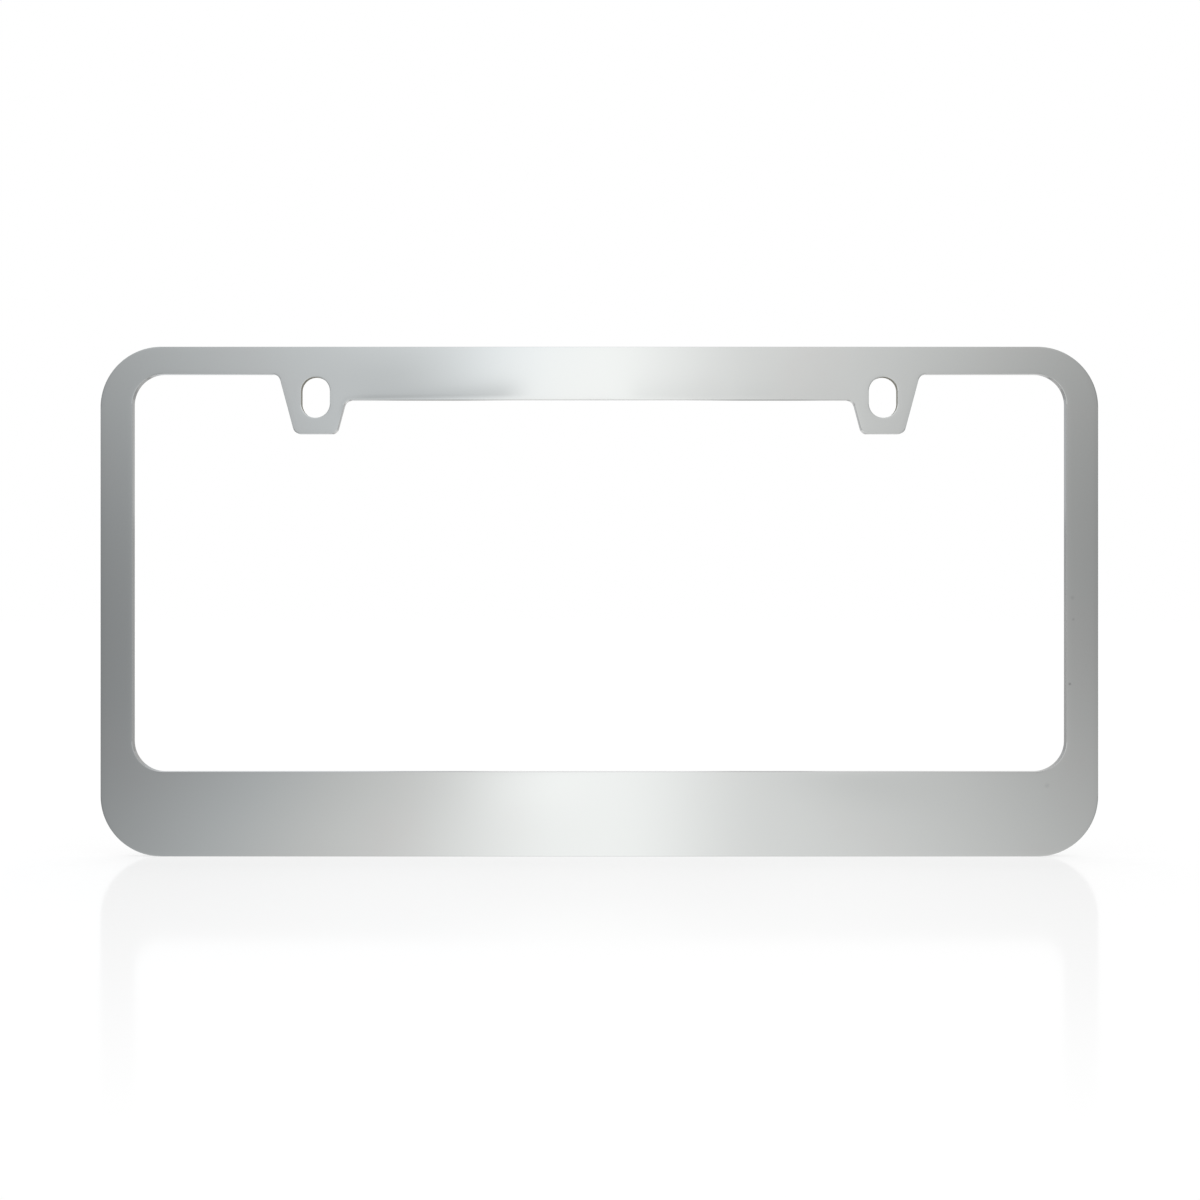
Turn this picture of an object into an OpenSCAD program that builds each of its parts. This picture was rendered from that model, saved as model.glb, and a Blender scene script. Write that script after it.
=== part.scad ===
// Number plate holder: a flat frame of bright metal, held over a number plate by two screws.
// X runs to the right as seen from the front, Z runs up and the front faces -Y.
// The origin lies on the rear face, midway between the centres of the two screw slots.

/* [Frame] */
// Width over the outer edges
frame_w = 312.4; // [290:0.1:340]
// Height over the outer edges
frame_h = 159.6; // [145:0.1:180]
// Thickness of the metal
metal_t = 3; // [2:0.1:5]
// Radius of the four outer corners
outer_r = 19; // [8:0.5:25]

/* [Window] */
// Width of each side bar
side_bar_w = 10; // [8:0.1:16]
// Height of the band under the window
bottom_band_h = 26.5; // [15:0.1:40]
// Height of the slim top bar, outside the tabs
slim_bar_h = 8.5; // [6:0.1:11]
// Height of the top bar between the tabs
middle_bar_h = 16.6; // [12:0.1:20]
// Radius of the window's four corners
window_r = 9.6; // [3:0.1:12]

/* [Tabs] */
// Drop of the tabs' lower edge below the frame's top edge
tab_drop = 27.2; // [26:0.1:34]
// Width of a tab's lower edge, before its corners are rounded
tab_tip_w = 13.1; // [12:0.1:20]
// Lean of a tab's flanks from the vertical, in degrees
tab_lean = 15; // [0:1:25]
// Radius of a tab's two lower corners
tab_tip_r = 2.2; // [0.5:0.1:4]
// Radius of the fillets where a tab grows out of the bars
tab_root_r = 2.6; // [0.5:0.1:4]

/* [Screw slots] */
// Distance between the two slots, centre to centre
slot_spacing = 177.8; // [150:0.1:200]
// Drop of the slots' centres below the frame's top edge
slot_drop = 15.8; // [13:0.1:18]
// Width of a slot
slot_w = 9; // [5:0.1:10]
// Length of a slot from end to end
slot_l = 12.8; // [11:0.1:16]

/* [Edges] */
// Width of the softened edge round the front face
front_edge = 0.4; // [0.1:0.05:0.8]
// Width of the softened edge round the rear face
rear_edge = 0.2; // [0.1:0.05:0.6]

/* [Hidden] */
$fn = 96;

// How far a cut reaches past the metal
overcut = 1;
// An edge's arc has its centre this many edge widths inside, so it meets each surface at a slight angle
edge_centre = 1.3;
// Straight edges run this far into the corners, whose edges are wider by as much, so no skin stays between
lap = 0.01;

top_z = slot_drop;
bottom_z = top_z - frame_h;
slim_bar_z = top_z - slim_bar_h;
middle_bar_z = top_z - middle_bar_h;
tab_tip_z = top_z - tab_drop;
window_bottom_z = bottom_z + bottom_band_h;
outer_x = frame_w / 2;
window_x = outer_x - side_bar_w;
slot_x = slot_spacing / 2;
slot_r = slot_w / 2;
slot_straight = slot_l - slot_w;

// A loop lists its sharp corners anticlockwise, each as [x, z, radius].
outer_loop = [
    [-outer_x, bottom_z, outer_r],
    [outer_x, bottom_z, outer_r],
    [outer_x, top_z, outer_r],
    [-outer_x, top_z, outer_r],
];

// Half a tab's width at height z
function tab_half_w(z) = tab_tip_w / 2 + (z - tab_tip_z) * tan(tab_lean);

// The right tab, from its root at the slim bar round to its root at the middle bar
right_tab = [
    [slot_x + tab_half_w(slim_bar_z), slim_bar_z, tab_root_r],
    [slot_x + tab_half_w(tab_tip_z), tab_tip_z, tab_tip_r],
    [slot_x - tab_half_w(tab_tip_z), tab_tip_z, tab_tip_r],
    [slot_x - tab_half_w(middle_bar_z), middle_bar_z, tab_root_r],
];

function mirrored(corners) = [for (i = [len(corners) - 1:-1:0]) [-corners[i].x, corners[i].y, corners[i].z]];

window_loop = concat(
    [[-window_x, window_bottom_z, window_r], [window_x, window_bottom_z, window_r]],
    [[window_x, slim_bar_z, window_r]],
    right_tab,
    mirrored(right_tab),
    [[-window_x, slim_bar_z, window_r]]
);

slot_loop = [
    for (corner = [[-1, -1], [1, -1], [1, 1], [-1, 1]])
        [corner.x * slot_r, corner.y * slot_l / 2, slot_r]
];

// The arc at corner i of a loop, whose turn is positive to the left
function unit(v) = v / norm(v);
function heading(v) = atan2(v.y, v.x);
function left_of(v) = [-v.y, v.x];
function point(loop, i) = let (p = loop[(i + len(loop)) % len(loop)]) [p.x, p.y];
function way_in(loop, i) = unit(point(loop, i) - point(loop, i - 1));
function way_out(loop, i) = unit(point(loop, i + 1) - point(loop, i));
function turn(loop, i) = let (a = way_in(loop, i), b = way_out(loop, i)) atan2(cross(a, b), a * b);
function set_back(loop, i) = loop[i].z * tan(abs(turn(loop, i)) / 2);
function arc_start(loop, i) = point(loop, i) - way_in(loop, i) * set_back(loop, i);
function arc_end(loop, i) = point(loop, i) + way_out(loop, i) * set_back(loop, i);
function arc_centre(loop, i) = arc_start(loop, i) + left_of(way_in(loop, i)) * sign(turn(loop, i)) * loop[i].z;

// The area inside a loop, with a true arc at each corner
module area(loop) {
    module arcs(side)
        for (i = [0:len(loop) - 1])
            if (sign(turn(loop, i)) == side) translate(arc_centre(loop, i)) circle(loop[i].z);
    difference() {
        union() {
            polygon([for (i = [0:len(loop) - 1]) each [arc_start(loop, i), arc_end(loop, i)]]);
            arcs(1);
        }
        arcs(-1);
    }
}

module slot_area() {
    square([slot_w, slot_straight], center = true);
    for (end = [-1, 1]) translate([0, end * slot_straight / 2]) circle(slot_r);
}

// What a softened edge takes off a square corner at the origin, with the metal towards +X and +Y
module corner_waste(edge) {
    difference() {
        translate([-overcut, -overcut]) square(overcut + edge);
        translate(edge * [edge_centre, edge_centre]) circle(edge * norm([edge_centre, edge_centre - 1]));
    }
}

// The same at both faces of the metal, each edge wider by extra
module edge_waste(extra = 0) {
    corner_waste(rear_edge + extra);
    translate([0, metal_t]) mirror([0, 1]) corner_waste(front_edge + extra);
}

// The waste all along a loop, with the metal on its left (side = 1) or on its right (side = -1)
module edges_along(loop, side) {
    for (i = [0:len(loop) - 1]) {
        run = arc_start(loop, (i + 1) % len(loop)) - arc_end(loop, i);
        if (norm(run) > lap)
            translate(arc_end(loop, i)) rotate(heading(run)) mirror([0, side < 0 ? 1 : 0])
                translate([-lap, 0]) rotate([90, 0, 90]) linear_extrude(norm(run) + 2 * lap) edge_waste();

        left_turn = turn(loop, i) > 0;
        centre = arc_centre(loop, i);
        first = left_turn ? arc_start(loop, i) : arc_end(loop, i);
        metal_inside = left_turn == (side > 0);
        translate(centre) rotate(heading(first - centre)) rotate_extrude(angle = abs(turn(loop, i)))
            translate([loop[i].z, 0]) mirror([metal_inside ? 1 : 0, 0]) edge_waste(lap);
    }
}

module plate_frame() {
    color("silver") rotate([90, 0, 0]) difference() {
        linear_extrude(metal_t) difference() {
            area(outer_loop);
            area(window_loop);
            for (side = [-1, 1]) translate([side * slot_x, 0]) slot_area();
        }
        edges_along(outer_loop, 1);
        edges_along(window_loop, -1);
        for (side = [-1, 1]) translate([side * slot_x, 0]) edges_along(slot_loop, -1);
    }
}

plate_frame();
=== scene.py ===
"""A number plate holder: one flat frame of bright metal, cut open for the plate behind it.

The frame has a broad band under its window, two slim side bars and a top bar with two
tabs, each pierced by an upright slot for a plate screw. Lengths are in metres. X runs to
the right as seen from the front, Z runs up, and the front faces -Y.
"""

import logging
import math
from collections.abc import Iterable
from dataclasses import dataclass, field
from enum import Enum

import bmesh
import bpy
from mathutils import Matrix, Vector


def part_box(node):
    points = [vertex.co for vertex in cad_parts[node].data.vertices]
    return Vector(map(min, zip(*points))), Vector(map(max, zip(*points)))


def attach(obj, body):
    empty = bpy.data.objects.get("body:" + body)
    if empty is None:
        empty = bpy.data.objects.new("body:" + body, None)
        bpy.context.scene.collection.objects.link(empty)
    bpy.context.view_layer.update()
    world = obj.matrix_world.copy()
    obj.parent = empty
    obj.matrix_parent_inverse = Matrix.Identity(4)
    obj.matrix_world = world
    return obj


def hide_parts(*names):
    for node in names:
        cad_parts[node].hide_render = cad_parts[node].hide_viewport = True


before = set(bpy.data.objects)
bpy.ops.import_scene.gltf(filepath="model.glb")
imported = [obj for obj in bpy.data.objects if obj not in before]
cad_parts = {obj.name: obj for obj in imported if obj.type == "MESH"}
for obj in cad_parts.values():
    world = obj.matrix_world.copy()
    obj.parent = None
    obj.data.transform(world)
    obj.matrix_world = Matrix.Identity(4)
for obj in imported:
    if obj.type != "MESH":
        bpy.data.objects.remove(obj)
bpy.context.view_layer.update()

NODE = "plate_frame"
BODY = "root"
MM = 0.001
MERGE = 1e-6

# Faces whose normals point further than this to the front or the rear are flat, others are walls
FLAT = 0.5
# The front's finish ends part of the way round the softened edges, but at the slots it goes on
FRONT_UP_TO = -0.75
SLOT_FRONT_UP_TO = -0.1
REAR_FROM = 0.1
# How strongly the large flat faces keep their own normals
FACE_WEIGHT = 90

WHITE = (1.0, 1.0, 1.0, 1.0)
BLACK = (0.0, 0.0, 0.0, 1.0)

# The sockets of a Mix node go by number, because their names are the same for every data type
MIX_SHARE = 0
MIX_NUMBERS = (2, 3)
MIX_COLOURS = (6, 7)
MIXED_NUMBER = 0
MIXED_COLOUR = 2

Colour = tuple[float, float, float, float]
Socket = bpy.types.NodeSocket

log = logging.getLogger("number_plate_holder")


class Surface(Enum):
    """The finishes of the metal, in the order of the piece's material slots."""

    FRONT = 0
    WALL = 1
    SLOT = 2
    REAR = 3


@dataclass(frozen=True)
class Corner:
    """A sharp corner of an outline in the frame's plane, and the radius that rounds it."""

    x: float
    z: float
    radius: float = 0.0

    @property
    def place(self) -> Vector:
        """The corner's place in the plane, as (x, z)."""
        return Vector((self.x, self.z))


@dataclass(frozen=True)
class Arc:
    """The arc that rounds one corner of an outline."""

    start: Vector
    centre: Vector
    turn: float
    radius: float

    @classmethod
    def at(cls, before: Corner, corner: Corner, after: Corner) -> "Arc":
        """Fits the arc of a corner between its two neighbours.

        Args:
            before: The corner that the outline comes from.
            corner: The corner to round.
            after: The corner that the outline goes to.

        Returns:
            The arc, whose turn is positive to the left.
        """
        way_in = (corner.place - before.place).normalized()
        way_out = (after.place - corner.place).normalized()
        turn = math.atan2(way_in.cross(way_out), way_in.dot(way_out))
        start = corner.place - way_in * corner.radius * math.tan(abs(turn) / 2)
        left = Vector((-way_in.y, way_in.x))
        centre = start + left * math.copysign(corner.radius, turn)
        return cls(start, centre, turn, corner.radius)


@dataclass(frozen=True)
class OutlinePen:
    """Draws rounded outlines on the plane of the frame's rear face."""

    chord_error: float = 0.003 * MM
    fewest_steps: int = 4

    def steps(self, arc: Arc) -> int:
        """The number of straight steps that keep an arc within the chord error."""
        step = 2 * math.acos(1 - self.chord_error / arc.radius)
        return max(self.fewest_steps, math.ceil(abs(arc.turn) / step))

    def fill(self, bm: bmesh.types.BMesh, corners: list[Corner]) -> None:
        """Draws a closed outline and fills it with one face.

        Args:
            bm: The mesh that takes the face.
            corners: The outline's sharp corners, in order.
        """
        known = set(bm.edges)
        ends: list[tuple[bmesh.types.BMVert, bmesh.types.BMVert]] = []
        for i, corner in enumerate(corners):
            arc = Arc.at(corners[i - 1], corner, corners[(i + 1) % len(corners)])
            first = bmesh.ops.create_vert(bm, co=(arc.start.x, 0, arc.start.y))["vert"][0]
            last = first
            if arc.radius:
                spun = bmesh.ops.spin(
                    bm,
                    geom=[first],
                    cent=(arc.centre.x, 0, arc.centre.y),
                    axis=(0, -1, 0),
                    angle=arc.turn,
                    steps=self.steps(arc),
                )
                last = next(v for v in spun["geom_last"] if isinstance(v, bmesh.types.BMVert))
            ends.append((first, last))
        for (_, last), (first, _) in zip(ends, ends[1:] + ends[:1]):
            bmesh.ops.contextual_create(bm, geom=[last, first])
        drawn = [edge for edge in bm.edges if edge not in known]
        corners_drawn = list(dict.fromkeys(vert for edge in drawn for vert in edge.verts))
        bmesh.ops.remove_doubles(bm, verts=corners_drawn, dist=MERGE)
        drawn = [edge for edge in bm.edges if edge not in known]
        bmesh.ops.edgeloop_fill(bm, edges=drawn)


def new_object(
    name: str, bm: bmesh.types.BMesh, materials: Iterable[bpy.types.Material]
) -> bpy.types.Object:
    """Turns a mesh under construction into an object of the scene.

    Args:
        name: The name of the object and of its mesh.
        bm: The mesh under construction, which is freed.
        materials: The object's materials, in the order of its slots.

    Returns:
        The object.
    """
    mesh = bpy.data.meshes.new(name)
    bm.to_mesh(mesh)
    bm.free()
    for material in materials:
        mesh.materials.append(material)
    item = bpy.data.objects.new(name, mesh)
    bpy.context.scene.collection.objects.link(item)
    return item


@dataclass
class PlateFrame:
    """The frame itself, drawn as two panels of its right half and mirrored."""

    low: Vector
    high: Vector
    outer_r: float = 19 * MM
    side_bar_w: float = 10 * MM
    bottom_band_h: float = 26.5 * MM
    slim_bar_h: float = 8.5 * MM
    middle_bar_h: float = 16.6 * MM
    window_r: float = 9.6 * MM
    tab_drop: float = 27.2 * MM
    tab_tip_w: float = 13.1 * MM
    tab_lean: float = math.radians(15)
    tab_tip_r: float = 2.2 * MM
    tab_root_r: float = 2.6 * MM
    slot_x: float = 88.9 * MM
    slot_w: float = 9 * MM
    slot_l: float = 12.8 * MM
    front_edge: float = 0.08 * MM
    rear_edge: float = 0.15 * MM
    edge_segments: int = 5
    fall_width: float = 1.8 * MM
    fall_depth: float = 0.008 * MM
    fall_rings: int = 4

    @property
    def thickness(self) -> float:
        """The thickness of the metal."""
        return self.high.y - self.low.y

    @property
    def tab_tip_z(self) -> float:
        """The height of the tabs' lower edge."""
        return self.high.z - self.tab_drop

    @property
    def rim_y(self) -> float:
        """Where the rims of the front face lie, a little behind its middle."""
        return self.low.y + self.fall_depth

    def tab_corner(self, side: int, z: float, radius: float) -> Corner:
        """A corner of the right tab.

        Args:
            side: 1 for the outer flank, -1 for the inner one.
            z: The corner's height.
            radius: The radius that rounds it.

        Returns:
            The corner on that flank at that height.
        """
        half_w = self.tab_tip_w / 2 + (z - self.tab_tip_z) * math.tan(self.tab_lean)
        return Corner(self.slot_x + side * half_w, z, radius)

    def slot_side(self, side: int) -> list[Corner]:
        """Half of the right slot's outline, from its top down.

        Args:
            side: 1 for the outer half, -1 for the inner one.

        Returns:
            The corners of that half.
        """
        x = self.slot_x + side * self.slot_w / 2
        end = self.slot_l / 2
        return [
            Corner(self.slot_x, end),
            Corner(x, end, self.slot_w / 2),
            Corner(x, -end, self.slot_w / 2),
            Corner(self.slot_x, -end),
        ]

    def side_panel(self) -> list[Corner]:
        """The outline from the middle of the band round the side bar to the slot's middle.

        Returns:
            The panel's corners, in order.
        """
        window_x = self.high.x - self.side_bar_w
        window_z = self.low.z + self.bottom_band_h
        slim_z = self.high.z - self.slim_bar_h
        return [
            Corner(0, self.low.z),
            Corner(self.high.x, self.low.z, self.outer_r),
            Corner(self.high.x, self.high.z, self.outer_r),
            Corner(self.slot_x, self.high.z),
            *self.slot_side(1),
            Corner(self.slot_x, self.tab_tip_z),
            self.tab_corner(1, self.tab_tip_z, self.tab_tip_r),
            self.tab_corner(1, slim_z, self.tab_root_r),
            Corner(window_x, slim_z, self.window_r),
            Corner(window_x, window_z, self.window_r),
            Corner(0, window_z),
        ]

    def middle_panel(self) -> list[Corner]:
        """The outline from the middle of the top bar to the slot's middle.

        Returns:
            The panel's corners, in order.
        """
        middle_z = self.high.z - self.middle_bar_h
        return [
            Corner(0, middle_z),
            self.tab_corner(-1, middle_z, self.tab_root_r),
            self.tab_corner(-1, self.tab_tip_z, self.tab_tip_r),
            Corner(self.slot_x, self.tab_tip_z),
            *reversed(self.slot_side(-1)),
            Corner(self.slot_x, self.high.z),
            Corner(0, self.high.z),
        ]

    def draw_sheet(self, bm: bmesh.types.BMesh) -> None:
        """Draws the whole flat outline: both panels and their mirror image.

        Args:
            bm: The empty mesh.
        """
        pen = OutlinePen()
        for corners in (self.side_panel(), self.middle_panel()):
            pen.fill(bm, corners)
        bmesh.ops.remove_doubles(bm, verts=bm.verts[:], dist=MERGE)
        everything = bm.verts[:] + bm.edges[:] + bm.faces[:]
        bmesh.ops.mirror(bm, geom=everything, matrix=Matrix.Identity(4), merge_dist=MERGE, axis="X")
        bmesh.ops.recalc_face_normals(bm, faces=bm.faces[:])

    def thicken(self, bm: bmesh.types.BMesh) -> None:
        """Pulls the flat sheet forward to where the rims of its front face lie.

        Args:
            bm: The mesh of the flat sheet.
        """
        pulled = bmesh.ops.extrude_face_region(bm, geom=bm.faces[:])
        front = [item for item in pulled["geom"] if isinstance(item, bmesh.types.BMVert)]
        bmesh.ops.translate(bm, verts=front, vec=(0, self.fall_depth - self.thickness, 0))
        bmesh.ops.recalc_face_normals(bm, faces=bm.faces[:])

    def crown(self, bm: bmesh.types.BMesh) -> None:
        """Raises the front face in rings, so that it falls away gently towards every edge.

        Args:
            bm: The thickened mesh.
        """
        step = self.fall_width / self.fall_rings
        front = [face for face in bm.faces if abs(face.calc_center_median().y - self.rim_y) < MERGE]
        for ring in range(self.fall_rings):
            share = 1 - ring / self.fall_rings
            next_share = share - 1 / self.fall_rings
            rise = self.fall_depth * (share * share - next_share * next_share)
            bmesh.ops.inset_region(
                bm,
                faces=front,
                thickness=step,
                depth=rise,
                use_boundary=True,
                use_even_offset=True,
            )

    def soften(self, bm: bmesh.types.BMesh, y: float, width: float) -> None:
        """Rounds every rim of one face of the metal.

        Args:
            bm: The thickened mesh.
            y: Where that face's rims lie.
            width: How far the rounding reaches.
        """
        rims = [
            edge
            for edge in bm.edges
            if all(abs(vert.co.y - y) < MERGE for vert in edge.verts)
            and any(abs(face.normal.y) < FLAT for face in edge.link_faces)
            and any(abs(face.normal.y) > FLAT for face in edge.link_faces)
        ]
        bmesh.ops.bevel(
            bm,
            geom=rims,
            offset=width,
            offset_type="OFFSET",
            affect="EDGES",
            segments=self.edge_segments,
            profile=0.5,
            material=-1,
        )

    def surface_of(self, face: bmesh.types.BMFace) -> Surface:
        """Which finish a face has, by where it looks and whether it lies in a slot.

        Args:
            face: A face of the finished mesh.

        Returns:
            The kind of surface.
        """
        centre = face.calc_center_median()
        beside = abs(abs(centre.x) - self.slot_x) < self.slot_w / 2 + self.front_edge
        in_slot = beside and abs(centre.z) < self.slot_l / 2 + self.front_edge
        if face.normal.y < (SLOT_FRONT_UP_TO if in_slot else FRONT_UP_TO):
            return Surface.FRONT
        if face.normal.y > REAR_FROM:
            return Surface.REAR
        return Surface.SLOT if in_slot else Surface.WALL

    def assign(self, bm: bmesh.types.BMesh) -> None:
        """Gives each face its finish.

        Args:
            bm: The finished mesh.
        """
        bmesh.ops.recalc_face_normals(bm, faces=bm.faces[:])
        for face in bm.faces:
            face.smooth = True
            face.material_index = self.surface_of(face).value

    def build(self, materials: dict[Surface, bpy.types.Material]) -> bpy.types.Object:
        """Builds the frame, sets it on its body and gives it its finishes.

        Args:
            materials: The material of each kind of surface.

        Returns:
            The finished piece.
        """
        bm = bmesh.new()
        self.draw_sheet(bm)
        self.thicken(bm)
        self.crown(bm)
        self.soften(bm, self.rim_y, self.front_edge)
        self.soften(bm, self.high.y, self.rear_edge)
        self.assign(bm)
        piece = new_object("bright_plate_frame", bm, [materials[surface] for surface in Surface])
        normals = piece.modifiers.new("flat_faces_stay_flat", "WEIGHTED_NORMAL")
        normals.mode = "FACE_AREA"
        normals.weight = FACE_WEIGHT
        normals.keep_sharp = False
        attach(piece, BODY)
        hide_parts(NODE)
        return piece


@dataclass(frozen=True)
class Ramp:
    """A smooth turn from one value into another, between two places."""

    low: float
    high: float
    start: float = 0.0
    end: float = 1.0

    @classmethod
    def about(cls, place: float, soft: float) -> "Ramp":
        """The ramp from 0 to 1 that reaches the same way to both sides of a place."""
        return cls(place - soft, place + soft)


@dataclass(frozen=True)
class Span:
    """A stretch between two places, with soft ends and a level within."""

    fade_in: tuple[float, float]
    fade_out: tuple[float, float]
    level: float = 1.0

    @classmethod
    def between(cls, left: float, right: float, soft: float) -> "Span":
        """The stretch whose ends both fade over the same width."""
        return cls((left - soft, left + soft), (right - soft, right + soft))


@dataclass
class Nodes:
    """A small hand for wiring one node tree."""

    tree: bpy.types.NodeTree

    def add(self, kind: str, **settings: object) -> bpy.types.Node:
        """Adds a node of a kind, with its own properties set.

        Args:
            kind: The node's type name.
            **settings: The node's properties.

        Returns:
            The new node.
        """
        node = self.tree.nodes.new(kind)
        for name, value in settings.items():
            setattr(node, name, value)
        return node

    def feed(self, socket: Socket, value: object) -> None:
        """Links a socket into an input, or sets the input's own value.

        Args:
            socket: The input.
            value: The socket to link, or the plain value.
        """
        if isinstance(value, bpy.types.NodeSocket):
            self.tree.links.new(value, socket)
        else:
            socket.default_value = value

    def place(self) -> Socket:
        """The place on the object."""
        return self.add("ShaderNodeTexCoord").outputs["Object"]

    def parts(self, vector: Socket) -> tuple[Socket, Socket, Socket]:
        """Takes a vector apart.

        Args:
            vector: The vector.

        Returns:
            Its x, y and z.
        """
        node = self.add("ShaderNodeSeparateXYZ")
        self.feed(node.inputs["Vector"], vector)
        return node.outputs["X"], node.outputs["Y"], node.outputs["Z"]

    def math(self, operation: str, *values: object, clamp: bool = False) -> Socket:
        """Works out one number from others.

        Args:
            operation: The sum to do, as the Math node names it.
            *values: Sockets or plain numbers.
            clamp: Whether the result is kept from 0 to 1.

        Returns:
            The result's socket.
        """
        node = self.add("ShaderNodeMath", operation=operation, use_clamp=clamp)
        for socket, value in zip(node.inputs, values):
            self.feed(socket, value)
        return node.outputs["Value"]

    def vector_math(self, operation: str, result: str, *values: object) -> Socket:
        """Works out a vector or a length from vectors.

        Args:
            operation: The sum to do, as the Vector Math node names it.
            result: The output that holds the result.
            *values: Sockets or plain vectors.

        Returns:
            The result's socket.
        """
        node = self.add("ShaderNodeVectorMath", operation=operation)
        for socket, value in zip(node.inputs, values):
            self.feed(socket, value)
        return node.outputs[result]

    def square(self, value: Socket) -> Socket:
        """A value times itself."""
        return self.math("MULTIPLY", value, value)

    def falling(self, value: Socket) -> Socket:
        """Falls from 1 at the value 0 towards 0 at large ones."""
        return self.math("EXPONENT", self.math("MULTIPLY", value, -1.0))

    def dimmed(self, level: Socket, mask: Socket, depth: float) -> Socket:
        """Takes a share of a level away where a mask is 1."""
        return self.math("MULTIPLY", level, self.math("MULTIPLY_ADD", mask, -depth, 1.0))

    def ease(self, value: Socket, ramp: Ramp) -> Socket:
        """Turns a value smoothly along a ramp.

        Args:
            value: The value that runs along the ramp.
            ramp: Its two places and the results there.

        Returns:
            The result's socket.
        """
        node = self.add("ShaderNodeMapRange", interpolation_type="SMOOTHSTEP")
        self.feed(node.inputs["Value"], value)
        self.feed(node.inputs["From Min"], ramp.low)
        self.feed(node.inputs["From Max"], ramp.high)
        self.feed(node.inputs["To Min"], ramp.start)
        self.feed(node.inputs["To Max"], ramp.end)
        return node.outputs["Result"]

    def within(self, value: Socket, span: Span) -> Socket:
        """The span's level where a value lies within it, and 0 elsewhere."""
        fading_out = self.ease(value, Ramp(*span.fade_out, span.level, 0.0))
        return self.math("MULTIPLY", self.ease(value, Ramp(*span.fade_in)), fading_out)

    def mix(self, share: object, first: object, second: object) -> Socket:
        """Mixes two colours.

        Args:
            share: How much of the second one shows.
            first: The first colour.
            second: The second colour.

        Returns:
            The mixed colour's socket.
        """
        node = self.add("ShaderNodeMix", data_type="RGBA")
        self.feed(node.inputs[MIX_SHARE], share)
        for index, colour in zip(MIX_COLOURS, (first, second)):
            self.feed(node.inputs[index], colour)
        return node.outputs[MIXED_COLOUR]

    def between(self, share: object, first: object, second: object) -> Socket:
        """Works out the number that lies between two others.

        Args:
            share: How near it is to the second one.
            first: The first number.
            second: The second number.

        Returns:
            The number's socket.
        """
        node = self.add("ShaderNodeMix", data_type="FLOAT")
        self.feed(node.inputs[MIX_SHARE], share)
        for index, number in zip(MIX_NUMBERS, (first, second)):
            self.feed(node.inputs[index], number)
        return node.outputs[MIXED_NUMBER]

    def blend(self, share: object, first: Socket, second: Socket) -> Socket:
        """Blends two shaders.

        Args:
            share: How much of the second one shows.
            first: The first shader.
            second: The second shader.

        Returns:
            The blended shader's socket.
        """
        node = self.add("ShaderNodeMixShader")
        for socket, value in zip(node.inputs, (share, first, second)):
            self.feed(socket, value)
        return node.outputs["Shader"]

    def noise(self, place: Socket, scale: float, detail: float) -> Socket:
        """Even noise from 0 to 1.

        Args:
            place: The place on the object.
            scale: How many lumps there are to a metre.
            detail: How many finer layers the noise has.

        Returns:
            The noise's socket.
        """
        node = self.add("ShaderNodeTexNoise", noise_dimensions="3D")
        self.feed(node.inputs["Vector"], place)
        self.feed(node.inputs["Scale"], scale)
        self.feed(node.inputs["Detail"], detail)
        return node.outputs["Fac"]


@dataclass(frozen=True)
class Speck:
    """A tiny dull spot on the polished front, in the frame's own place."""

    x: float
    z: float
    radius: float
    depth: float
    y: float = -3 * MM

    def dull(self, nodes: Nodes, place: Socket, colour: Socket) -> Socket:
        """Darkens a colour within the speck.

        Args:
            nodes: The material's node tree.
            place: The place on the object.
            colour: The colour without the speck.

        Returns:
            The colour with the speck.
        """
        apart = nodes.vector_math("DISTANCE", "Value", place, (self.x, self.y, self.z))
        spot = nodes.ease(apart, Ramp(0.0, self.radius, self.depth, 0.0))
        return nodes.mix(spot, colour, BLACK)


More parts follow.
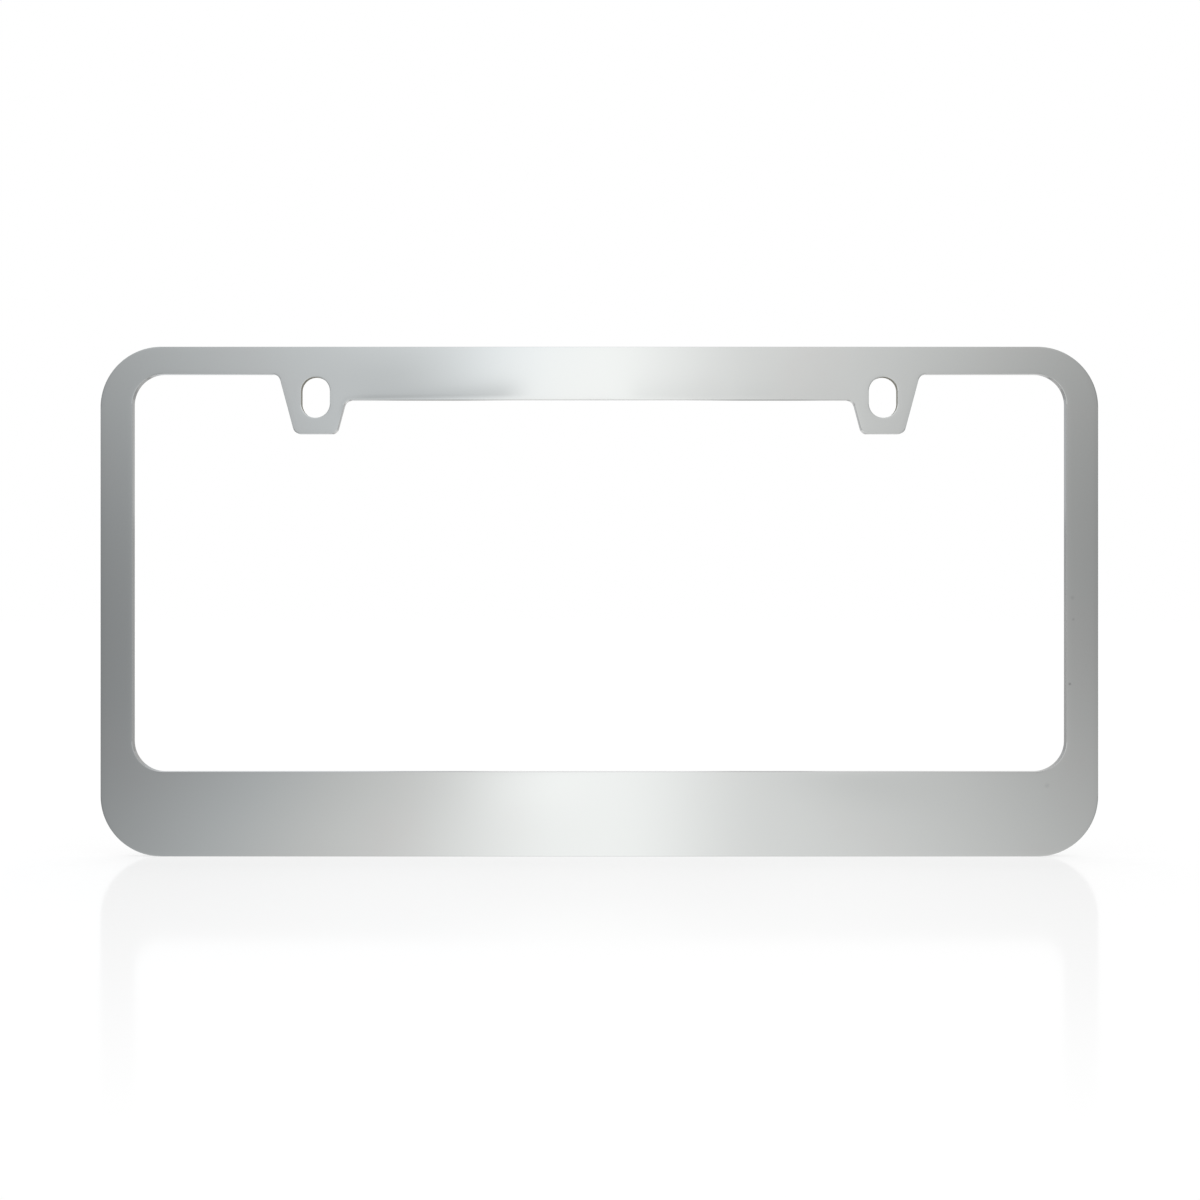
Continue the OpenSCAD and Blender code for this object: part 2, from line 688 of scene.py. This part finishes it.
@dataclass
class MetalEffects:
    """The node groups that more than one finish of the metal uses."""

    cloud_scale: float = 24
    cloud_detail: float = 3
    cloud_ramp: Ramp = Ramp(0.50, 0.74)
    fine_scale: float = 420
    fine_detail: float = 2
    fine_ramp: Ramp = Ramp(0.30, 0.70, 0.55, 1.0)
    mark_scale: float = 900
    mark_detail: float = 3
    mark_stretch: tuple[float, float, float] = (0.12, 1.0, 1.0)
    handling: bpy.types.NodeTree = field(init=False)
    marks: bpy.types.NodeTree = field(init=False)

    def __post_init__(self) -> None:
        """Builds each group once."""
        self.handling = self.handling_group()
        self.marks = self.marks_group()

    @staticmethod
    def group(name: str, inputs: dict[str, str], outputs: dict[str, str]) -> bpy.types.NodeTree:
        """Makes an empty node group with its sockets.

        Args:
            name: The group's name.
            inputs: The kind of each input, by its name.
            outputs: The kind of each output, by its name.

        Returns:
            The group.
        """
        tree = bpy.data.node_groups.new(name, "ShaderNodeTree")
        for socket_name, kind in inputs.items():
            tree.interface.new_socket(socket_name, in_out="INPUT", socket_type=kind)
        for socket_name, kind in outputs.items():
            tree.interface.new_socket(socket_name, in_out="OUTPUT", socket_type=kind)
        tree.nodes.new("NodeGroupInput")
        tree.nodes.new("NodeGroupOutput")
        return tree

    def handling_group(self) -> bpy.types.NodeTree:
        """Faint cloudy smudges that dull the shine a little.

        Returns:
            A group that puts out the colour and the roughness.
        """
        tree = self.group(
            "handling_smudges",
            {
                "Vector": "NodeSocketVector",
                "Clean Colour": "NodeSocketColor",
                "Dull Colour": "NodeSocketColor",
                "Clean Roughness": "NodeSocketFloat",
                "Dull Roughness": "NodeSocketFloat",
            },
            {"Colour": "NodeSocketColor", "Roughness": "NodeSocketFloat"},
        )
        nodes = Nodes(tree)
        given = tree.nodes["Group Input"].outputs
        result = tree.nodes["Group Output"].inputs
        cloud = nodes.noise(given["Vector"], self.cloud_scale, self.cloud_detail)
        fine = nodes.noise(given["Vector"], self.fine_scale, self.fine_detail)
        smudge = nodes.ease(cloud, self.cloud_ramp)
        dull = nodes.math("MULTIPLY", smudge, nodes.ease(fine, self.fine_ramp))
        nodes.feed(result["Colour"], nodes.mix(dull, given["Clean Colour"], given["Dull Colour"]))
        spread = nodes.math("SUBTRACT", given["Dull Roughness"], given["Clean Roughness"])
        extra = nodes.math("MULTIPLY", dull, spread)
        nodes.feed(result["Roughness"], nodes.math("ADD", given["Clean Roughness"], extra))
        return tree

    def marks_group(self) -> bpy.types.NodeTree:
        """Fine marks that the polishing wheel left along the bars.

        Returns:
            A group that puts out the height, from 0 to 1.
        """
        tree = self.group(
            "polishing_marks", {"Vector": "NodeSocketVector"}, {"Height": "NodeSocketFloat"}
        )
        nodes = Nodes(tree)
        along = nodes.add("ShaderNodeMapping")
        nodes.feed(along.inputs["Scale"], self.mark_stretch)
        nodes.feed(along.inputs["Vector"], tree.nodes["Group Input"].outputs["Vector"])
        height = nodes.noise(along.outputs["Vector"], self.mark_scale, self.mark_detail)
        nodes.feed(tree.nodes["Group Output"].inputs["Height"], height)
        return tree


@dataclass(frozen=True)
class MetalFinish:
    """One finish of the plated metal."""

    name: str
    colour: Colour
    dull_colour: Colour
    roughness: float
    smudge_roughness: float
    mark_depth: float = 0.0
    metallic: float = 1.0
    specular: float = 0.5
    specks: tuple[Speck, ...] = ()

    def material(self, effects: MetalEffects) -> bpy.types.Material:
        """Makes the material of this finish.

        Args:
            effects: The node groups that the finishes share.

        Returns:
            The material.
        """
        material = bpy.data.materials.new(self.name)
        material.use_nodes = True
        nodes = Nodes(material.node_tree)
        shader = material.node_tree.nodes["Principled BSDF"]
        nodes.feed(shader.inputs["Metallic"], self.metallic)
        nodes.feed(shader.inputs["Specular IOR Level"], self.specular)
        place = nodes.place()

        handling = nodes.add("ShaderNodeGroup", node_tree=effects.handling)
        nodes.feed(handling.inputs["Vector"], place)
        nodes.feed(handling.inputs["Clean Colour"], self.colour)
        nodes.feed(handling.inputs["Dull Colour"], self.dull_colour)
        nodes.feed(handling.inputs["Clean Roughness"], self.roughness)
        nodes.feed(handling.inputs["Dull Roughness"], self.smudge_roughness)
        colour = handling.outputs["Colour"]
        for speck in self.specks:
            colour = speck.dull(nodes, place, colour)
        nodes.feed(shader.inputs["Base Color"], colour)
        nodes.feed(shader.inputs["Roughness"], handling.outputs["Roughness"])

        if self.mark_depth:
            marks = nodes.add("ShaderNodeGroup", node_tree=effects.marks)
            nodes.feed(marks.inputs["Vector"], place)
            bump = nodes.add("ShaderNodeBump")
            nodes.feed(bump.inputs["Strength"], 1.0)
            nodes.feed(bump.inputs["Distance"], self.mark_depth)
            nodes.feed(bump.inputs["Height"], marks.outputs["Height"])
            nodes.feed(shader.inputs["Normal"], bump.outputs["Normal"])
        return material


def bare_material(name: str) -> bpy.types.Material:
    """Makes a material whose node tree holds only its output.

    Args:
        name: The material's name.

    Returns:
        The material.
    """
    material = bpy.data.materials.new(name)
    material.use_nodes = True
    material.node_tree.nodes.remove(material.node_tree.nodes["Principled BSDF"])
    return material


@dataclass(frozen=True)
class Shade:
    """A faint line across the tent, between two places, at a height that may rise with x.

    A line of negative depth is brighter than the light round it.
    """

    left: float
    right: float
    soft: float
    height: float
    half_width: float
    depth: float
    rise: float = 0.0

    def draw(self, nodes: Nodes, level: Socket, x: Socket, z: Socket) -> Socket:
        """Draws the line over the tent's light.

        Args:
            nodes: The tent's node tree.
            level: The level without the line.
            x: The place across, as a part of the radius.
            z: The height, as a part of the radius.

        Returns:
            The level with the line.
        """
        levelled = nodes.math("MULTIPLY_ADD", x, -self.rise, z)
        above_line = nodes.math("SUBTRACT", levelled, self.height)
        from_line = nodes.math("DIVIDE", above_line, self.half_width)
        line = nodes.falling(nodes.square(from_line))
        inside = nodes.within(x, Span.between(self.left, self.right, self.soft))
        return nodes.dimmed(level, nodes.math("MULTIPLY", line, inside), self.depth)


DARK_STREAK = Shade(
    left=-0.197,
    right=-0.069,
    soft=0.015,
    height=0.177,
    half_width=0.0084,
    depth=0.42,
    rise=0.11,
)
STREAK_HAZE = Shade(
    left=-0.200,
    right=-0.137,
    soft=0.047,
    height=0.1865,
    half_width=0.013,
    depth=0.155,
    rise=0.03,
)
TOP_BAR_LINES = (
    DARK_STREAK,
    STREAK_HAZE,
    Shade(left=0.027, right=0.100, soft=0.006, height=0.166, half_width=0.013, depth=0.105),
    Shade(left=0.105, right=0.190, soft=0.015, height=0.166, half_width=0.011, depth=0.085),
    Shade(left=-0.10, right=0.03, soft=0.03, height=0.19, half_width=0.05, depth=-0.045),
)

LIT_LOW_LEFT = Shade(
    left=-0.36,
    right=-0.10,
    soft=0.05,
    height=-0.218,
    half_width=0.037,
    depth=-0.074,
    rise=-0.126,
)
LIT_HIGH_MIDDLE = Shade(
    left=-0.10,
    right=-0.01,
    soft=0.032,
    height=-0.1465,
    half_width=0.025,
    depth=-0.056,
    rise=0.1,
)
DIM_HIGH_RIGHT = Shade(
    left=0.17,
    right=0.248,
    soft=0.059,
    height=-0.131,
    half_width=0.019,
    depth=0.119,
    rise=-0.079,
)
BAND_LINES = (LIT_LOW_LEFT, LIT_HIGH_MIDDLE, DIM_HIGH_RIGHT)


@dataclass(frozen=True)
class LightTent:
    """The light that the polished metal mirrors, painted on a round tent.

    Places on the tent are parts of its radius: x to the right, z upwards. In front, a lit
    panel stands in a wide glow that narrows at the horizon and leans a little, and faint
    lines cross it. A darker strip above the horizon shows in the floor's picture of the
    band. Lights at both sides and overhead, a pale ground and a white back show in other
    views. The back has two dimmer upright strips, which the walls of the side bars
    mirror, and a brighter spot low in its middle, which the top bar's walls mirror.
    """

    centre: Vector
    radius: float = 1.2
    turns: int = 96
    rings: int = 48
    dim: float = 0.17
    wide: float = 0.69
    middle: float = 0.03
    waist: float = 0.104
    lean: float = 0.13
    flare: float = 1.55
    least_spread: float = 0.01
    panel: float = 0.235
    panel_width: Span = Span.between(-0.10, 0.071, 0.068)
    fade_up: Ramp = Ramp(0.5, 1.0, 1.0, 0.5)
    lines: tuple[Shade, ...] = TOP_BAR_LINES + BAND_LINES
    strip_depth: float = 0.55
    strip_height: Span = Span((0.055, 0.075), (0.118, 0.136))
    strip_left: Ramp = Ramp(-0.20, -0.06)
    strip_right: Ramp = Ramp(0.06, 0.22, 1.0, 0.0)
    side: Span = Span((0.50, 0.64), (0.84, 0.96), 0.30)
    beside: Ramp = Ramp(0.92, 0.98, 0.0, 0.85)
    above: Ramp = Ramp(0.90, 0.97, 0.0, 0.60)
    ground: float = 0.72
    ground_up_to: Ramp = Ramp(-0.60, -0.25, 1.0, 0.0)
    behind: Ramp = Ramp(0.0, 0.3)
    back: float = 1.0
    back_high: Ramp = Ramp(0.055, 0.078)
    back_low: Ramp = Ramp(-0.38, -0.20, 0.60, 1.0)
    back_strip_depth: float = 0.30
    back_strips: Span = Span((0.09, 0.12), (0.16, 0.19))
    back_spot_height: Ramp = Ramp(-0.15, -0.10)
    back_spot_width: Ramp = Ramp(0.06, 0.11, 0.35, 0.0)
    tint_lean: float = 0.55
    tint_ramp: Ramp = Ramp.about(-0.16, 0.06)
    cool: Colour = (0.977, 1.0, 1.020, 1.0)
    warm: Colour = (1.0, 1.0, 0.995, 1.0)

    def glow_level(self, nodes: Nodes, x: Socket, z: Socket) -> Socket:
        """How bright the wide glow and the lit panel are together.

        Args:
            nodes: The tent's node tree.
            x: The place across, as a part of the radius.
            z: The height, as a part of the radius.

        Returns:
            The level's socket.
        """
        from_middle = nodes.math("SUBTRACT", x, self.middle)
        leaning = nodes.math("MULTIPLY", nodes.math("SIGN", from_middle), z)
        spread = nodes.math("MULTIPLY_ADD", leaning, -self.lean, self.waist)
        spread = nodes.math("MULTIPLY_ADD", nodes.square(z), self.flare, spread)
        spread = nodes.math("MAXIMUM", spread, self.least_spread)
        away = nodes.math("DIVIDE", nodes.square(from_middle), spread)
        wide = nodes.math("MULTIPLY", nodes.falling(away), self.wide)
        panel = nodes.math("MULTIPLY", nodes.within(x, self.panel_width), self.panel)
        both = nodes.math("ADD", wide, panel)
        return nodes.math("MULTIPLY", both, nodes.ease(z, self.fade_up))

    def front_level(self, nodes: Nodes, x: Socket, z: Socket) -> Socket:
        """How bright the front half of the tent is.

        Args:
            nodes: The tent's node tree.
            x: The place across, as a part of the radius.
            z: The height, as a part of the radius.

        Returns:
            The level's socket.
        """
        shining = self.glow_level(nodes, x, z)
        for line in self.lines:
            shining = line.draw(nodes, shining, x, z)

        strip = nodes.within(z, self.strip_height)
        strip = nodes.math("MULTIPLY", strip, nodes.ease(x, self.strip_left))
        strip = nodes.math("MULTIPLY", strip, nodes.ease(x, self.strip_right))
        shining = nodes.dimmed(shining, strip, self.strip_depth)

        across = nodes.math("ABSOLUTE", x)
        ends = nodes.math("ADD", nodes.ease(across, self.beside), nodes.ease(z, self.above))
        side = nodes.math("ADD", nodes.within(across, self.side), ends)
        level = nodes.math("ADD", nodes.math("ADD", shining, side), self.dim)
        return nodes.between(nodes.ease(z, self.ground_up_to), level, self.ground)

    def back_level(self, nodes: Nodes, x: Socket, z: Socket) -> Socket:
        """How bright the back half of the tent is.

        Args:
            nodes: The tent's node tree.
            x: The place across, as a part of the radius.
            z: The height, as a part of the radius.

        Returns:
            The level's socket.
        """
        across = nodes.math("ABSOLUTE", x)
        low = nodes.ease(z, self.back_low)
        low = nodes.dimmed(low, nodes.within(across, self.back_strips), self.back_strip_depth)
        spot_height = nodes.ease(z, self.back_spot_height)
        spot = nodes.math("MULTIPLY", spot_height, nodes.ease(across, self.back_spot_width))
        low = nodes.math("ADD", low, spot)
        return nodes.between(nodes.ease(z, self.back_high), low, self.back)

    def material(self) -> bpy.types.Material:
        """The light of the tent, as the metal mirrors it.

        Returns:
            The material.
        """
        material = bare_material("tent_light")
        nodes = Nodes(material.node_tree)
        offset = nodes.vector_math("SUBTRACT", "Vector", nodes.place(), self.centre)
        x, y, z = nodes.parts(nodes.vector_math("NORMALIZE", "Vector", offset))
        front = self.front_level(nodes, x, z)
        level = nodes.between(nodes.ease(y, self.behind), front, self.back_level(nodes, x, z))
        tint_way = nodes.math("MULTIPLY_ADD", z, -self.tint_lean, x)
        warmth = nodes.ease(tint_way, self.tint_ramp)
        light = nodes.add("ShaderNodeEmission")
        nodes.feed(light.inputs["Color"], nodes.mix(warmth, self.cool, self.warm))
        nodes.feed(light.inputs["Strength"], level)
        output = material.node_tree.nodes["Material Output"]
        nodes.feed(output.inputs["Surface"], light.outputs["Emission"])
        return material

    def build(self) -> bpy.types.Object:
        """Sets up the light tent, which only mirrors show.

        Returns:
            The tent.
        """
        bm = bmesh.new()
        bmesh.ops.create_uvsphere(
            bm, u_segments=self.turns, v_segments=self.rings, radius=self.radius
        )
        bmesh.ops.translate(bm, verts=bm.verts[:], vec=self.centre)
        bmesh.ops.reverse_faces(bm, faces=bm.faces[:])
        tent = new_object("light_tent", bm, [self.material()])
        tent.visible_camera = False
        tent.visible_diffuse = False
        tent.visible_shadow = False
        tent.visible_transmission = False
        return tent


@dataclass(frozen=True)
class Floor:
    """The pale floor, with a faint shine that gives the frame's picture under it."""

    height: float
    radius: float = 6.0
    turns: int = 96
    shadow_share: float = 0.28
    glow: float = 1.02
    roughness: float = 0.10
    mirror_reach: float = 0.29
    mirror_start: Ramp = Ramp(-0.01, 0.024)
    mirror_width: Ramp = Ramp(0.165, 0.215, 0.14, 0.0)
    far_off: Ramp = Ramp(0.45, 1.4)

    def shine_share(self, nodes: Nodes, place: Socket) -> Socket:
        """How much the floor shines, which fades in front of, behind and beside the frame.

        Args:
            nodes: The floor's node tree.
            place: The place on the floor.

        Returns:
            The share's socket.
        """
        x, y, _ = nodes.parts(place)
        way = nodes.math("DIVIDE", y, self.mirror_reach)
        fade = nodes.math("SUBTRACT", 1.0, nodes.square(way), clamp=True)
        begins = nodes.ease(nodes.math("MULTIPLY", y, -1.0), self.mirror_start)
        inside = nodes.ease(nodes.math("ABSOLUTE", x), self.mirror_width)
        return nodes.math("MULTIPLY", nodes.math("MULTIPLY", fade, begins), inside)

    def material(self) -> bpy.types.Material:
        """The floor's material, which is clear from below.

        Returns:
            The material.
        """
        material = bare_material("pale_floor")
        nodes = Nodes(material.node_tree)
        place = nodes.place()
        matt = nodes.add("ShaderNodeBsdfDiffuse")
        nodes.feed(matt.inputs["Color"], WHITE)
        shine = nodes.add("ShaderNodeBsdfGlossy")
        nodes.feed(shine.inputs["Color"], WHITE)
        nodes.feed(shine.inputs["Roughness"], self.roughness)
        white = nodes.add("ShaderNodeEmission")
        nodes.feed(white.inputs["Color"], WHITE)
        nodes.feed(white.inputs["Strength"], self.glow)
        clear = nodes.add("ShaderNodeBsdfTransparent")
        below = nodes.add("ShaderNodeNewGeometry").outputs["Backfacing"]

        pale = nodes.blend(self.shadow_share, white.outputs["Emission"], matt.outputs["BSDF"])
        near = nodes.blend(self.shine_share(nodes, place), pale, shine.outputs["BSDF"])
        distance = nodes.vector_math("LENGTH", "Value", place)
        whole = nodes.blend(nodes.ease(distance, self.far_off), near, white.outputs["Emission"])
        whole = nodes.blend(below, whole, clear.outputs["BSDF"])
        nodes.feed(material.node_tree.nodes["Material Output"].inputs["Surface"], whole)
        return material

    def build(self) -> bpy.types.Object:
        """Lays the floor under the frame.

        Returns:
            The floor, which the polished metal doesn't mirror.
        """
        bm = bmesh.new()
        bmesh.ops.create_circle(bm, cap_ends=True, segments=self.turns, radius=self.radius)
        bmesh.ops.translate(bm, verts=bm.verts[:], vec=(0, 0, self.height))
        if bm.faces[:][0].normal.z < 0:
            bmesh.ops.reverse_faces(bm, faces=bm.faces[:])
        floor = new_object("floor", bm, [self.material()])
        floor.visible_glossy = False
        return floor


@dataclass(frozen=True)
class Studio:
    """The floor, the light and the camera that the frame is seen with."""

    low: Vector
    high: Vector
    lens: float = 52.7
    sensor: float = 36
    camera_distance: float = 0.550
    camera_shift_x: float = 0.0002
    camera_rise: float = 0.0005
    world_light: Ramp = Ramp(0.0, 1.0, 0.98, 1.0)

    @property
    def centre(self) -> Vector:
        """The middle of the frame."""
        return (self.low + self.high) / 2

    def camera(self) -> bpy.types.Object:
        """Sets up the camera, straight in front of the frame.

        Returns:
            The camera.
        """
        data = bpy.data.cameras.new("camera")
        data.lens = self.lens
        data.sensor_width = self.sensor
        camera = bpy.data.objects.new("camera", data)
        camera.location = (
            self.centre.x + self.camera_shift_x,
            self.low.y - self.camera_distance,
            self.centre.z + self.camera_rise,
        )
        camera.rotation_euler = (math.pi / 2, 0, 0)
        bpy.context.scene.collection.objects.link(camera)
        bpy.context.scene.camera = camera
        return camera

    def world(self) -> None:
        """Makes the surroundings white, with a plain level of light."""
        world = bpy.data.worlds.new("white_surroundings")
        world.use_nodes = True
        bpy.context.scene.world = world
        nodes = Nodes(world.node_tree)
        background = world.node_tree.nodes["Background"]
        nodes.feed(background.inputs["Color"], WHITE)
        path = nodes.add("ShaderNodeLightPath")
        seen = nodes.math("MAXIMUM", path.outputs["Is Camera Ray"], path.outputs["Is Glossy Ray"])
        seen = nodes.math("MAXIMUM", seen, path.outputs["Is Transmission Ray"])
        nodes.feed(background.inputs["Strength"], nodes.ease(seen, self.world_light))

    def build(self) -> None:
        """Sets up the surroundings, the floor, the tent and the camera."""
        self.world()
        for part in (Floor(self.low.z).build(), LightTent(self.centre).build(), self.camera()):
            log.info("%s is in place", part.name)


FINISHES = {
    Surface.FRONT: MetalFinish(
        name="polished_front",
        colour=(0.788, 0.805, 0.798, 1.0),
        dull_colour=(0.790, 0.795, 0.788, 1.0),
        roughness=0.06,
        smudge_roughness=0.12,
        specks=(
            Speck(x=148.1 * MM, z=-62.8 * MM, radius=1.0 * MM, depth=0.10),
            Speck(x=148.4 * MM, z=-69.6 * MM, radius=0.7 * MM, depth=0.13),
            Speck(x=147.3 * MM, z=-89.8 * MM, radius=0.7 * MM, depth=0.36),
            Speck(x=140.2 * MM, z=-121.6 * MM, radius=1.3 * MM, depth=0.08),
        ),
    ),
    Surface.WALL: MetalFinish(
        name="cut_walls",
        colour=(0.22, 0.224, 0.224, 1.0),
        dull_colour=(0.20, 0.20, 0.196, 1.0),
        roughness=0.12,
        smudge_roughness=0.20,
        mark_depth=0.01 * MM,
    ),
    Surface.SLOT: MetalFinish(
        name="raw_slot_walls",
        colour=(0.24, 0.23, 0.19, 1.0),
        dull_colour=(0.17, 0.16, 0.13, 1.0),
        roughness=0.60,
        smudge_roughness=0.75,
        mark_depth=0.01 * MM,
        metallic=0.3,
        specular=0.2,
    ),
    Surface.REAR: MetalFinish(
        name="satin_rear",
        colour=(0.640, 0.650, 0.648, 1.0),
        dull_colour=(0.620, 0.628, 0.622, 1.0),
        roughness=0.24,
        smudge_roughness=0.30,
        mark_depth=0.03 * MM,
    ),
}


def main() -> None:
    """Builds the piece and the studio in order, and reports each one."""
    logging.basicConfig(level=logging.INFO, format="%(name)s: %(message)s")
    bpy.context.scene.view_settings.view_transform = "Standard"
    low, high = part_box(NODE)
    effects = MetalEffects()
    materials = {surface: finish.material(effects) for surface, finish in FINISHES.items()}
    piece = PlateFrame(low, high).build(materials)
    mesh = piece.data
    log.info("%s: %d vertices, %d faces", piece.name, len(mesh.vertices), len(mesh.polygons))
    Studio(low, high).build()


if __name__ == "__main__":
    main()
